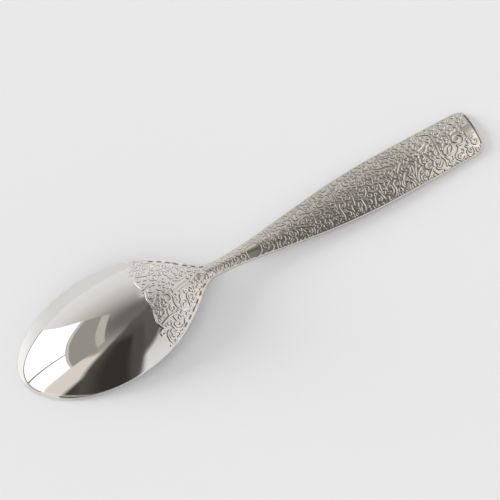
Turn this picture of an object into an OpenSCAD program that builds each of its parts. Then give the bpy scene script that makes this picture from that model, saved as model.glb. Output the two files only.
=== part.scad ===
// Tablespoon with a plain polished bowl and a broad flat handle, lying face down.
// X runs from the tip of the bowl to the end of the handle and Z is up. The spoon stands on
// Z = 0 with the back of its bowl upwards, on the tip of the rim and on the front of the handle.

/* [Lie on the table] */
// Length from the tip of the bowl to the end of the handle
overall_length = 190; // [175:1:210]
// Height of the front face over the table at the neck
neck_rise = 5; // [2:0.1:8]
// Slope at which the front face falls at the neck
neck_slope = 0.19; // [0.12:0.01:0.26]
// Distance from the end of the handle to where it touches the table
rest_from_end = 4; // [2:0.5:12]

/* [Bowl] */
// Greatest width of the bowl
bowl_width = 40.8; // [36:0.2:46]
// Distance from the tip to the widest place
bowl_wide_x = 36.6; // [32:0.2:40]
// Height of the back of the bowl over its rim
bowl_height = 11.5; // [8:0.5:15]
// Wall at the crown of the bowl
bowl_wall = 1.6; // [1:0.1:2.5]
// Width of the flat rim
rim_width = 1.1; // [0.7:0.1:1.8]
// Height of the upright edge of the rim
rim_edge = 0.5; // [0.3:0.1:0.9]
// Width of the straight stretch at the very tip
tip_flat = 1; // [0.6:0.1:2]

/* [Neck] */
// Distance from the tip to the narrowest place of the neck
neck_x = 79.5; // [75:0.5:84]
// Width of the neck there
neck_width = 5.2; // [4:0.1:8]
// Thickness of the neck there, at its crest
neck_thick = 4.2; // [3.6:0.1:6]
// Thickness of the neck there, at its sides
neck_side = 2.9; // [1.8:0.1:3.5]
// Length of the neck before its narrowest place, from the foot of the bowl's hollow
heel_run = 9; // [6:0.5:14]
// Length of the neck after its narrowest place
shank_run = 15; // [10:0.5:24]
// Sharpness of the crest along the neck, where 2 is a round back
crest_power = 1.5; // [1.2:0.1:2]
// Bevel along the front edges of the neck and handle
front_bevel = 0.4; // [0.2:0.1:0.8]

/* [Handle] */
// Greatest width of the handle
handle_width = 18.6; // [15:0.2:23]
// Distance from the end of the handle to its widest place
wide_from_end = 36.5; // [28:0.5:46]
// Width of the handle just before its end rounds off
end_width = 18.2; // [14:0.2:22]
// Length over which the end rounds off
end_round = 12; // [8:0.5:16]
// Squareness of the end, where 2 is an ellipse
end_square = 5; // [3:0.5:7]
// Width of the straight stretch at the end
end_flat = 6; // [3:0.5:9]
// Thickness along the middle of the handle
handle_thick = 2.6; // [1.8:0.1:3.6]
// Thickness at the sides of the handle
handle_side = 1.5; // [1:0.1:1.7]
// Distance past the narrowest place at which the neck's thickness has run out
taper_run = 45; // [30:1:55]

/* [Form] */
// Share of a plain parabola in the bowl's fall towards the tip; the rest falls late
tip_share = 0.4; // [0.2:0.05:1]
// Power of the late part of that fall
tip_power = 4.7; // [3:0.1:6]
// Share of the neck's height that the front face loses evenly along the handle; the rest is lost early
straight_share = 0.65; // [0.4:0.05:0.85]
// Length over which the front face levels out at the table, as a share of the way from the neck
rest_level = 0.05; // [0.02:0.01:0.1]
// Level run of the outline before the neck, as a share of the heel
heel_level = 0.22; // [0.1:0.02:0.4]
// Level run of the outline after the neck, as a share of the way to the widest place of the handle
shank_level = 0.28; // [0.1:0.02:0.5]
// Level run of the outline before the widest place of the handle, as a share of the same way
grip_level = 0.44; // [0.2:0.02:0.5]
// Level run of the crown before the neck, as a share of the heel
crown_level = 0.4; // [0.2:0.05:0.5]
// Level run of the hollow before its foot, as a share of the way from the widest place
hollow_level = 0.3; // [0.1:0.05:0.4]

/* [Hidden] */
polished = "#c9c7c2";
patterned = "#98948b";
// Rows along each piece and columns across it
tip_rows = 20;
heel_rows = 15;
neck_rows = 12;
grip_rows = 24;
end_rows = 9;
columns = 24;
// Share of its length at which the rounded end is as narrow as the straight stretch, and the angle there
end_cut = pow(1 - pow(end_flat / end_width, end_square), 1 / end_square);
end_angle = asin(pow(end_cut, end_square / 2));
// Places along the spoon, from the tip
heel_x = neck_x - heel_run;
shank_x = neck_x + shank_run;
rest_x = overall_length - rest_from_end;
grip_x = overall_length - wide_from_end;
round_x = overall_length - end_round;
hollow = bowl_height - bowl_wall;
// Reach of the even fall, its slope at the neck, and the power of the early fall that makes up the rest
rest_reach = sqrt(1 + rest_level * rest_level);
even_slope = straight_share / rest_reach / (rest_reach - rest_level);
early_power = (neck_slope * (rest_x - neck_x) / neck_rise - even_slope) / (1 - straight_share);

// Cubic curve through the control values p, at t from 0 to 1
function bezier(p, t) =
    p[0] * pow(1 - t, 3) + 3 * p[1] * t * pow(1 - t, 2)
    + 3 * p[2] * t * t * (1 - t) + p[3] * pow(t, 3);

// The t at which a rising cubic curve reaches v, found by halving
function bezier_find(p, v, low = 0, high = 1, steps = 40) =
    let (mid = (low + high) / 2)
    steps == 0 ? mid
    : bezier(p, mid) < v ? bezier_find(p, v, mid, high, steps - 1)
    : bezier_find(p, v, low, mid, steps - 1);

// Height at x of a curve that leaves a = [x, y] level and reaches b level, with level runs at both
function level_curve(x, a, run_a, b, run_b) =
    bezier([a[1], a[1], b[1], b[1]], bezier_find([a[0], a[0] + run_a, b[0] - run_b, b[0]], x));

// Level run at which such a curve starts with the curvature bend, for a drop of that size
function run_for(drop, bend) = sqrt(2 / 3 * drop / bend);

// Height at x of a cubic from [x, y, slope] a to [x, y, slope] b
function cubic(x, a, b) =
    let (d = b[0] - a[0], t = (x - a[0]) / d)
    pow(1 - t, 2) * (a[1] * (1 + 2 * t) + a[2] * d * t)
    + t * t * (b[1] * (3 - 2 * t) + b[2] * d * (t - 1));

// Smooth step from 0 at a to 1 at b
function ease(x, a, b) =
    let (t = min(1, max(0, (x - a) / (b - a))))
    t * t * (3 - 2 * t);

// A section's height across its width, u from -1 to 1
function arch(u, power = 2) = max(0, 1 - pow(abs(u), power));

// Height the bowl keeps along its middle, s from 0 at its widest place to 1 at the tip
function tip_arch(s) = max(0, 1 - tip_share * s * s - (1 - tip_share) * pow(max(0, s), tip_power));

// Share of its full width that the handle keeps at x, near its rounded end
function end_share(x) =
    pow(1 - pow(end_cut * max(0, x - round_x) / end_round, end_square), 1 / end_square);

// Half the spoon's width at x
function half_width(x) =
    x <= bowl_wide_x
    ? max(tip_flat, bowl_width * sqrt(max(0, 1 - pow(1 - x / bowl_wide_x, 2)))) / 2
    : x <= neck_x
    ? level_curve(x,
        [bowl_wide_x, bowl_width / 2],
        run_for((bowl_width - neck_width) / 2, bowl_width / 2 / pow(bowl_wide_x, 2)),
        [neck_x, neck_width / 2],
        heel_level * (neck_x - bowl_wide_x))
    : x <= grip_x
    ? level_curve(x,
        [neck_x, neck_width / 2],
        shank_level * (grip_x - neck_x),
        [grip_x, handle_width / 2],
        grip_level * (grip_x - neck_x))
    : end_share(x) * (handle_width + (end_width - handle_width) * ease(x, grip_x, overall_length)) / 2;

// Height of the front face over the table, which is the rim along the bowl
function front_line(x) =
    x <= neck_x ? cubic(x, [0, 0, 0], [neck_x, neck_rise, -neck_slope])
    : let (
        t = (rest_x - x) / (rest_x - neck_x),
        even = (sqrt(t * t + rest_level * rest_level) - rest_level) / (rest_reach - rest_level))
    neck_rise * (straight_share * even + (1 - straight_share) * pow(max(0, t), early_power));

// Thickness of the spoon's sides, and its thickness along the middle of the back
function side(x) =
    x <= neck_x ? rim_edge + (neck_side - rim_edge) * ease(x, bowl_wide_x, neck_x)
    : neck_side + (handle_side - neck_side) * ease(x, neck_x, neck_x + taper_run);
function crown(x) =
    x <= bowl_wide_x ? rim_edge + (bowl_height - rim_edge) * tip_arch(1 - x / bowl_wide_x)
    : x <= neck_x
    ? level_curve(x,
        [bowl_wide_x, bowl_height],
        run_for(bowl_height - neck_thick, 2 * tip_share * (bowl_height - rim_edge) / pow(bowl_wide_x, 2)),
        [neck_x, neck_thick],
        crown_level * (neck_x - bowl_wide_x))
    : side(x) + end_share(x) * (neck_thick - neck_side
        + (handle_thick - handle_side - neck_thick + neck_side) * ease(x, neck_x, neck_x + taper_run));

// Depth of the bowl's hollow along its middle
function depth(x) =
    x <= bowl_wide_x ? hollow * tip_arch((bowl_wide_x - x) / (bowl_wide_x - rim_width))
    : x < heel_x
    ? level_curve(x,
        [bowl_wide_x, hollow],
        run_for(hollow, 2 * tip_share * hollow / pow(bowl_wide_x - rim_width, 2)),
        [heel_x, 0],
        hollow_level * (heel_x - bowl_wide_x))
    : 0;

// The back is round over the bowl and the handle, and rises to a crest at the neck
function crest(x) =
    2 + (crest_power - 2) * ease(x, bowl_wide_x, neck_x) * (1 - ease(x, neck_x, neck_x + taper_run));

// The front edge is square along the rim and bevelled from the neck on
function bevel(x) = front_bevel * ease(x, bowl_wide_x, heel_x);

// Half the width inside the rim, or between the front bevels
function inner_half(x) =
    x <= bowl_wide_x
    ? max(tip_flat, (bowl_width - 2 * rim_width)
        * sqrt(max(0, 1 - pow((bowl_wide_x - x) / (bowl_wide_x - rim_width), 2)))) / 2
    : half_width(x) - rim_width + (rim_width - min(rim_width, front_bevel)) * ease(x, bowl_wide_x, heel_x);

// Where a row of the back at x has its row of the front, which starts inside the rim at the tip
function inner_x(x) =
    x >= bowl_wide_x ? x : bowl_wide_x - (bowl_wide_x - x) * (1 - rim_width / bowl_wide_x);

// One row of points over the back at x, and one over the front with its two outer edges
function back_row(x) = [
    for (j = [0 : columns])
    let (u = -cos(180 * j / columns))
    [x, u * half_width(x), front_line(x) + side(x) + (crown(x) - side(x)) * arch(u, crest(x))]
];
function front_row(x, xi) = concat(
    [[x, -half_width(x), front_line(x) + bevel(x)]],
    [for (j = [0 : columns - 2])
        let (u = -cos(180 * j / (columns - 2)))
        [xi, u * inner_half(xi), front_line(xi) + depth(xi) * arch(u)]],
    [[x, half_width(x), front_line(x) + bevel(x)]]
);
// The flat front edge of the very tip
function tip_row() = [for (j = [0 : columns]) [0, -cos(180 * j / columns) * half_width(0), front_line(0)]];

// Two triangles over the corners a, b, c and d, with the cut on either diagonal
function split(a, b, c, d, turn) = turn ? [[a, b, d], [b, c, d]] : [[a, b, c], [a, c, d]];

// Closed solid between rows of points over its back and as many rows over its front
module slab(back, front) {
    last_row = len(back) - 1;
    last = len(back[0]) - 1;
    stride = last + 1;
    under = len(back) * stride;
    at = function (i, j) i * stride + j;
    points = [for (row = concat(back, front)) each row];
    skins = [
        for (i = [0 : last_row - 1], j = [0 : last - 1])
        each concat(
            split(at(i, j), at(i, j + 1), at(i + 1, j + 1), at(i + 1, j), 2 * j < last),
            split(under + at(i, j), under + at(i + 1, j), under + at(i + 1, j + 1), under + at(i, j + 1),
                2 * j < last))
    ];
    sides = [
        for (i = [0 : last_row - 1])
        each concat(
            split(at(i, 0), at(i + 1, 0), under + at(i + 1, 0), under + at(i, 0), false),
            split(at(i + 1, last), at(i, last), under + at(i, last), under + at(i + 1, last), true))
    ];
    ends = [
        for (j = [0 : last - 1])
        each concat(
            split(at(0, j + 1), at(0, j), under + at(0, j), under + at(0, j + 1), 2 * j < last),
            split(at(last_row, j), at(last_row, j + 1),
                under + at(last_row, j + 1), under + at(last_row, j), 2 * j < last))
    ];
    translate([-overall_length / 2, 0, 0])
        polyhedron(points, concat(skins, sides, ends), convexity = 4);
}

// Evenly spaced places from a to b
function spread(a, b, count) = [for (i = [0 : count]) a + (b - a) * i / count];

// Dished bowl with its flat rim, from the tip to the foot of the hollow
module bowl() {
    tip = [for (i = [1 : tip_rows]) bowl_wide_x * (1 - cos(90 * i / tip_rows))];
    heel = [for (i = [1 : heel_rows]) bowl_wide_x + (heel_x - bowl_wide_x) * i / heel_rows];
    places = concat(tip, heel);
    color(polished)
        slab(
            concat([back_row(0)], [for (x = places) back_row(x)]),
            concat([tip_row()], [for (x = places) front_row(x, inner_x(x))]));
}

// Crested neck that carries the bowl
module neck() {
    places = spread(heel_x, shank_x, neck_rows);
    color(patterned)
        slab([for (x = places) back_row(x)], [for (x = places) front_row(x, x)]);
}

// Broad handle with a squared, rounded end
module handle() {
    grip = spread(shank_x, round_x, grip_rows);
    tail = [
        for (i = [1 : end_rows])
        round_x + end_round * pow(sin(end_angle * i / end_rows), 2 / end_square) / end_cut
    ];
    places = concat(grip, tail);
    color(patterned)
        slab([for (x = places) back_row(x)], [for (x = places) front_row(x, x)]);
}

bowl();
neck();
handle();
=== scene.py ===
# Tablespoon lying face down on a pale table: mirror polished bowl, scrollwork over heel, neck and handle.
import math

import bpy
import numpy as np
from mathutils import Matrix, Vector


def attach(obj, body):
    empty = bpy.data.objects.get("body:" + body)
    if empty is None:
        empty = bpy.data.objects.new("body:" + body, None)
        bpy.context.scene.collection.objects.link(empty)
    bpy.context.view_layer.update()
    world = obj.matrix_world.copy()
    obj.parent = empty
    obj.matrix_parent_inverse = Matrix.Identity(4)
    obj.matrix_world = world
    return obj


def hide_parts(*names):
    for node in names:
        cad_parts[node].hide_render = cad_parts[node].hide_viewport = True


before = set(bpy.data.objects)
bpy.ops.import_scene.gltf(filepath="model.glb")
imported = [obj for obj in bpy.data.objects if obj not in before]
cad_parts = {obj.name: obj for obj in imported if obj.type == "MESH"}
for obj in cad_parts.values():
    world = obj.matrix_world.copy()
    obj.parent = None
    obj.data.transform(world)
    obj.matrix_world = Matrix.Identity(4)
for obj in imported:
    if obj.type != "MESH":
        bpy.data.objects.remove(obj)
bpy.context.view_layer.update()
mm = 0.001

# Sizes of the CAD in millimetres, x counted from the tip of the bowl
spoon = {
    "length": 190, "restX": 186, "neckRise": 5, "neckSlope": 0.19,   # resting place, and rise to the neck
    "straight": 0.65, "restLevel": 0.05,   # how straight the handle runs, and how softly it meets the table
    "bowlWidth": 40.8, "wideX": 36.6, "bowlHeight": 11.5, "wall": 1.6, "rim": 1.1, "rimEdge": 0.5,
    "heelX": 70.5, "neckX": 79.5, "shankX": 94.5,   # end of the hollow, narrowest place, start of the handle
    "neckWidth": 5.2, "neckThick": 4.2, "neckSide": 2.9, "crest": 1.5, "bevel": 0.4,
    "gripX": 153.5, "gripWidth": 18.6, "endWidth": 18.2, "roundX": 178, "endSquare": 5, "endFlat": 6,
    "thick": 2.6, "side": 1.5, "taper": 45,
    "tipShare": 0.4, "tipPower": 4.7,   # round part of the tip's arch, and how squarely the rest falls
    "heelLevel": 0.22, "shankLevel": 0.28, "gripLevel": 0.44,   # level runs, in shares of their curves
    "crownLevel": 0.4, "hollowLevel": 0.3,
}
hollowDepth = spoon["bowlHeight"] - spoon["wall"]
endCut = (1 - (spoon["endFlat"] / spoon["endWidth"]) ** spoon["endSquare"]) ** (1 / spoon["endSquare"])


def linear(hexColour):
    channels = [int(hexColour[i:i + 2], 16) / 255 for i in (1, 3, 5)]
    return tuple(c / 12.92 if c <= 0.04045 else ((c + 0.055) / 1.055) ** 2.4 for c in channels) + (1.0,)


def ease(x, a, b):
    t = np.clip((np.asarray(x, float) - a) / (b - a), 0, 1)
    return t * t * (3 - 2 * t)


def bezier(p, t):
    return p[0] * (1 - t) ** 3 + 3 * p[1] * t * (1 - t) ** 2 + 3 * p[2] * t * t * (1 - t) + p[3] * t ** 3


# Curve that leaves a level and reaches b level, with a level run at both
def levelCurve(x, a, runA, b, runB):
    x = np.clip(x, a[0], b[0])
    low, high = np.zeros_like(x), np.ones_like(x)
    for _ in range(40):   # halvings, until the place is met
        mid = (low + high) / 2
        under = bezier((a[0], a[0] + runA, b[0] - runB, b[0]), mid) < x
        low, high = np.where(under, mid, low), np.where(under, high, mid)
    return bezier((a[1], a[1], b[1], b[1]), (low + high) / 2)


def runFor(drop, bend):
    return math.sqrt(2 / 3 * drop / bend)


def arch(u, power=2):
    return np.clip(1 - np.abs(u) ** power, 0, 1)


def tipArch(s):
    s = np.clip(s, 0, 1)
    return 1 - spoon["tipShare"] * s * s - (1 - spoon["tipShare"]) * s ** spoon["tipPower"]


def endShare(x):
    t = endCut * np.clip(x - spoon["roundX"], 0, None) / (spoon["length"] - spoon["roundX"])
    return np.clip(1 - t ** spoon["endSquare"], 0, 1) ** (1 / spoon["endSquare"])


def halfWidth(x):
    s = spoon
    half = s["bowlWidth"] / 2
    tip = half * np.sqrt(np.clip(1 - (1 - x / s["wideX"]) ** 2, 0, 1))
    heel = levelCurve(x, (s["wideX"], half), runFor(half - s["neckWidth"] / 2, half / s["wideX"] ** 2),
                      (s["neckX"], s["neckWidth"] / 2), s["heelLevel"] * (s["neckX"] - s["wideX"]))
    way = s["gripX"] - s["neckX"]
    shank = levelCurve(x, (s["neckX"], s["neckWidth"] / 2), s["shankLevel"] * way,
                       (s["gripX"], s["gripWidth"] / 2), s["gripLevel"] * way)
    return np.where(x <= s["wideX"], tip, np.where(x <= s["neckX"], heel,
                    np.where(x <= s["gripX"], shank, endShare(x) * gripHalf(x))))


def gripHalf(x):
    return (spoon["gripWidth"] + (spoon["endWidth"] - spoon["gripWidth"])
            * ease(x, spoon["gripX"], spoon["length"])) / 2


def frontLine(x):
    s = spoon
    t = x / s["neckX"]
    bowl = t * t * (s["neckRise"] * (3 - 2 * t) - s["neckSlope"] * s["neckX"] * (t - 1))
    long = s["restX"] - s["neckX"]
    reach = math.hypot(1, s["restLevel"])
    power = (s["neckSlope"] * long / s["neckRise"]
             - s["straight"] / reach / (reach - s["restLevel"])) / (1 - s["straight"])
    t = (s["restX"] - x) / long
    even = (np.hypot(t, s["restLevel"]) - s["restLevel"]) / (reach - s["restLevel"])
    bar = s["neckRise"] * (s["straight"] * even + (1 - s["straight"]) * np.clip(t, 0, None) ** power)
    return np.where(x <= s["neckX"], bowl, bar)


def sideThick(x):
    s = spoon
    return np.where(x <= s["neckX"],
                    s["rimEdge"] + (s["neckSide"] - s["rimEdge"]) * ease(x, s["wideX"], s["neckX"]),
                    s["neckSide"] + (s["side"] - s["neckSide"])
                    * ease(x, s["neckX"], s["neckX"] + s["taper"]))


def crownThick(x):
    s = spoon
    rise = s["bowlHeight"] - s["rimEdge"]
    tip = s["rimEdge"] + rise * tipArch(1 - x / s["wideX"])
    heel = levelCurve(x, (s["wideX"], s["bowlHeight"]),
                      runFor(s["bowlHeight"] - s["neckThick"], 2 * s["tipShare"] * rise / s["wideX"] ** 2),
                      (s["neckX"], s["neckThick"]), s["crownLevel"] * (s["neckX"] - s["wideX"]))
    bulge = s["neckThick"] - s["neckSide"]
    grip = sideThick(x) + endShare(x) * (bulge + (s["thick"] - s["side"] - bulge)
                                         * ease(x, s["neckX"], s["neckX"] + s["taper"]))
    return np.where(x <= s["wideX"], tip, np.where(x <= s["neckX"], heel, grip))


# Height of the plain back at x and at the share u of the half width
def backHeight(x, u):
    s = spoon
    pastNeck = ease(x, s["neckX"], s["neckX"] + s["taper"])
    power = 2 + (s["crest"] - 2) * ease(x, s["wideX"], s["neckX"]) * (1 - pastNeck)
    return frontLine(x) + sideThick(x) + (crownThick(x) - sideThick(x)) * arch(u, power)


def hollowAt(x):
    s = spoon
    inner = s["wideX"] - s["rim"]
    tip = hollowDepth * tipArch((s["wideX"] - x) / inner)
    bend = 2 * s["tipShare"] * hollowDepth / inner ** 2
    heel = levelCurve(x, (s["wideX"], hollowDepth), runFor(hollowDepth, bend),
                      (s["heelX"], 0), s["hollowLevel"] * (s["heelX"] - s["wideX"]))
    return np.where(x <= s["wideX"], tip, heel)


# How far a place lies inside the outline, near the edge
def edgeDistance(x, y):
    s = spoon
    long = s["length"] - s["roundX"]
    t = endCut * np.clip(x - s["roundX"], 0, None) / long
    hw, q = gripHalf(x), s["endSquare"]
    v = np.abs(y) / hw
    g = np.maximum((v ** q + t ** q) ** (1 / q), 1e-6)
    slope = np.hypot((v / g) ** (q - 1) / hw, (t / g) ** (q - 1) * endCut / long)
    return np.where(x > s["roundX"], (1 - g) / np.maximum(slope, 1e-6), halfWidth(x) - np.abs(y))


print("scrollwork")
# Raised lines of the ornament: bold round ridges on the heel, finer and flatter ones on the neck and handle
ornament = {
    "seed": 11, "step": 0.1, "x0": 45.0, "x1": 191.0, "y1": 20.5,   # grid of the height field, in millimetres
    "heel": {"height": 0.2, "halfWidth": 0.47, "flatTop": 0.06, "gap": 1.0},
    "grip": {"height": 0.11, "halfWidth": 0.33, "flatTop": 0.05, "gap": 0.9},
    "end": {"height": 0.15, "halfWidth": 0.42, "flatTop": 0.06, "gap": 1.05},
    "heelFrom": 53.5, "heelTo": 78, "endFrom": 164, "endTo": 189,   # reach of each zone's fills
    "worked": (51.8, 53.2),   # the mirror finish gives way to the stamped one
    "lineStep": 0.1, "thin": (0.55, 0.45), "thinLong": 0.8, "budLong": 0.5,   # points, thin end, bud
    "riseReach": 2.6, "sinkReach": 1.5, "sinkFlat": 0.35,
    "band": (0.35, 0.95), "neckBand": 0.25,   # plain strip along the edges, and its share beside the neck
    "neckMiddle": 94, "neckReach": (30, 14),
}
fieldX = np.arange(ornament["x0"], ornament["x1"], ornament["step"])
fieldY = np.arange(-ornament["y1"], ornament["y1"] + 1e-6, ornament["step"])
relief = np.zeros((len(fieldX), len(fieldY)))
clear = np.full(relief.shape, 9.0)   # distance to the nearest line, far at first
rng = np.random.default_rng(ornament["seed"])


# Dense points of a smooth curve through a few
def smoothLine(points):
    p = np.asarray(points, float)
    p = np.vstack([2 * p[0] - p[1], p, 2 * p[-1] - p[-2]])
    parts = []
    for a, b, c, d in zip(p, p[1:], p[2:], p[3:]):
        t = np.linspace(0, 1, max(3, int(np.hypot(*(c - b)) / ornament["lineStep"])), endpoint=False)[:, None]
        parts.append(0.5 * (2 * b + (c - a) * t + (2 * a - 5 * b + 4 * c - d) * t * t
                            + (3 * b - a - 3 * c + d) * t ** 3))
    return np.vstack(parts + [p[-2:-1]])


# Part of the height field round a place on a line, and how far it lies from there; the fills keep clear
def patchRound(px, py, reach):
    i0, i1 = np.searchsorted(fieldX, (px - reach, px + reach))
    j0, j1 = np.searchsorted(fieldY, (py - reach, py + reach))
    patch = np.s_[i0:i1, j0:j1]
    far = np.hypot(fieldX[i0:i1, None] - px, fieldY[None, j0:j1] - py)
    clear[patch] = np.minimum(clear[patch], far)
    return patch, far


# Raises one line in the height field, with a rounded top, a thin end and perhaps a bud at its start
def raiseLine(points, zone, width=1.0, bud=0.0):
    o, z = ornament, ornament[zone]
    count = len(points)
    for i, (px, py) in enumerate(points):
        toEnd = min(1.0, (count - i) * o["lineStep"] / o["thinLong"])
        w = z["halfWidth"] * width * (o["thin"][0] + o["thin"][1] * toEnd)
        w += bud * max(0.0, 1 - i * o["lineStep"] / o["budLong"])
        patch, far = patchRound(px, py, o["riseReach"])
        rise = z["height"] * ease(-far, -w, -z["flatTop"] - bud / 2)
        relief[patch] = np.where(rise > 0, np.maximum(relief[patch], rise), relief[patch])


# Sinks one line into the ground
def sinkLine(points, depth, half):
    for px, py in points:
        patch, far = patchRound(px, py, ornament["sinkReach"])
        drop = -depth * ease(-far, -half, -ornament["sinkFlat"] * half)
        relief[patch] = np.where(drop < 0, np.minimum(relief[patch], drop), relief[patch])


# Scrolls of the heel, from the lower rim up to the crest; the other side mirrors those clear of the crest
heelLines = [
    [(53.3, 2.9), (53.1, 1.7), (52.7, 0.1), (53.1, -1.8)],
    [(56.2, 0.5), (55.1, -0.7), (53.9, -1.8), (53.1, -1.8)],
    [(53, -4.1), (52.4, -5.8), (52, -8.2), (52.7, -10.3), (54.1, -11.6)],
    [(53, -4.1), (54.5, -4.6), (56, -5.2), (56, -6.6), (54.8, -7.3), (54, -6.6), (54.7, -5.7)],
    [(53.8, -11.9), (52.5, -11.3), (51.5, -11.9), (51.5, -12.9), (52.6, -12.8)],
    [(54.2, -12.5), (53.2, -13.6), (53.1, -15.4), (53.7, -16.8)],
    [(56.4, -2.2), (57, -0.9), (58.3, -0.6), (60.1, -1.4), (60.4, -3), (59.2, -4), (58, -3.4), (58.6, -2.3)],
    [(60.6, -1.1), (61.2, -3), (60.8, -4.8), (61, -6.6), (62.1, -8.1), (63.9, -8.9), (65.8, -8.9)],
    [(62.5, -6), (63.2, -5.1), (64.3, -5.2), (64.9, -6.3), (63.9, -7), (63.5, -6.4)],
    [(65.4, -8), (65.7, -6.3), (65.8, -4.8), (66.9, -4.1), (68, -4.8), (67.7, -5.6)],
    [(66.6, -7.2), (67.7, -7.8), (67.7, -8.6), (66.9, -9.1)],
    [(53.4, -9.7), (54.6, -9.3), (56.5, -8.6), (58.6, -8.4), (60.3, -8.8)],
    [(61.1, -8.9), (62.3, -8.6), (63, -9.6), (62.3, -10.6), (61.3, -10.3)],
    [(58.1, -9.2), (58.5, -10.6), (59.2, -11.4), (58.9, -12.4), (57.7, -12.4), (57.2, -11.4), (57.8, -11.1)],
    [(59.9, -13), (58.4, -13.6), (56.8, -12.9), (56.2, -11.5), (56.6, -10.1)],
    [(61.2, -11.4), (60.8, -12.4), (60.5, -13.4)], [(58.9, -5.2), (59.9, -6.1), (59.7, -7.2), (58.7, -7.4)],
    [(57.5, -5.9), (57, -7), (56.9, -8.1)],
    [(56.2, -13.9), (57, -13.9), (57.5, -14.7), (57.1, -15.4), (56.1, -15.5)],
    [(62.1, -0.6), (64.2, 0.4), (66.4, 0.7), (68.6, 1.4)],
    [(62.1, -1.4), (63.7, -1.4), (65.1, -0.9), (66.9, -0.6), (69.2, -0.1)],
    [(69.4, -0.5), (71, 0.5), (72.8, 0.9), (74, 0.5)],
    [(64.4, -2.2), (66.2, -1.8), (68.2, -2), (69.8, -2.3), (69.4, -3.3)],
    [(70.5, -3.4), (71.5, -3.1), (72.4, -3.7), (72.3, -4.5), (71.1, -4.6)],
    [(69.1, -5.7), (70, -5.5), (70.7, -6.1)], [(75, -2), (76.2, -2), (76.3, -1.1), (75.9, -0.5)],
    [(63.7, -3.4), (64.8, -3.3), (63.4, -4), (63.4, -4.8)],
]
heel = {"crestHalf": 1.2, "scallopTo": 55, "beadLong": 0.1, "beadWidth": 1.1,
        "beads": ((52.6, -3.1), (52.6, 3.1), (52.3, -17.1), (52.3, 17.1))}
for line in heelLines:
    raiseLine(smoothLine(line), "heel")
    if min(abs(y) for x, y in line) > heel["crestHalf"] or line[0][0] < heel["scallopTo"]:
        raiseLine(smoothLine([(x, -y) for x, y in line]), "heel")
for x, y in heel["beads"]:
    raiseLine(np.array([(x, y), (x + heel["beadLong"], y)]), "heel", heel["beadWidth"])

# Sunk dashes beside the plain strip along the heel's edges
dash = {"from": 60.0, "to": 76.5, "inset": 1.2, "length": 1.35, "spacing": 3.1, "depth": 0.06, "half": 0.32,
        "step": 0.05, "points": 18}
edgeX = np.arange(dash["from"], dash["to"], dash["step"])
edgeY = halfWidth(edgeX) - dash["inset"]
along = np.concatenate([[0], np.cumsum(np.hypot(np.diff(edgeX), np.diff(edgeY)))])
for start in np.arange(0, along[-1] - dash["length"], dash["spacing"]):
    at = start + np.linspace(0, dash["length"], dash["points"])
    for side in (-1, 1):
        line = np.column_stack([np.interp(at, along, edgeX), side * np.interp(at, along, edgeY)])
        sinkLine(line, dash["depth"], dash["half"])

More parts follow.
